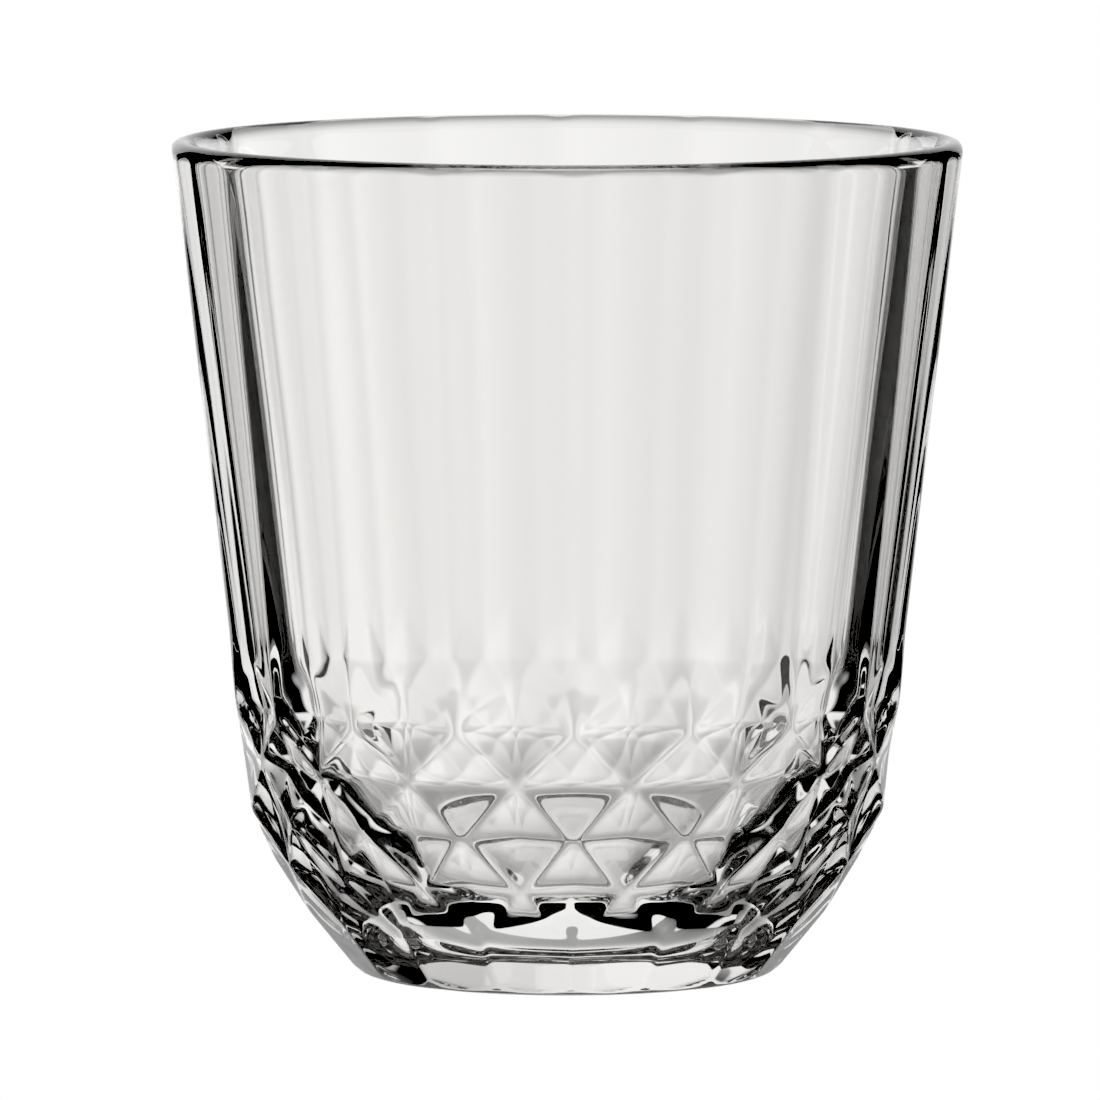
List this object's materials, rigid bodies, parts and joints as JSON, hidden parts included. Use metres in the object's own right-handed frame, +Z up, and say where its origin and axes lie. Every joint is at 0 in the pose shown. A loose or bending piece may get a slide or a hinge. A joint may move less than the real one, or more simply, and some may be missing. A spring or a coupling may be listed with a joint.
{
  "type": "whiskey tumbler",
  "caption": "Low pressed-glass drinking tumbler with flat wall panels, a diamond lattice round its lower body and a thick base.",
  "frame": {"origin": "centre of the foot, on the plane that the glass stands on", "axes": "+Z up along the glass's axis; one corner between two wall panels points along -Y"},
  "size_m": [0.0854, 0.0864, 0.0905],
  "materials": {
    "clear_glass": "fire-polished clear soda-lime glass"
  },
  "bodies": {
    "root": {"tumbler_glass": "clear_glass"}
  },
  "joints": []
}
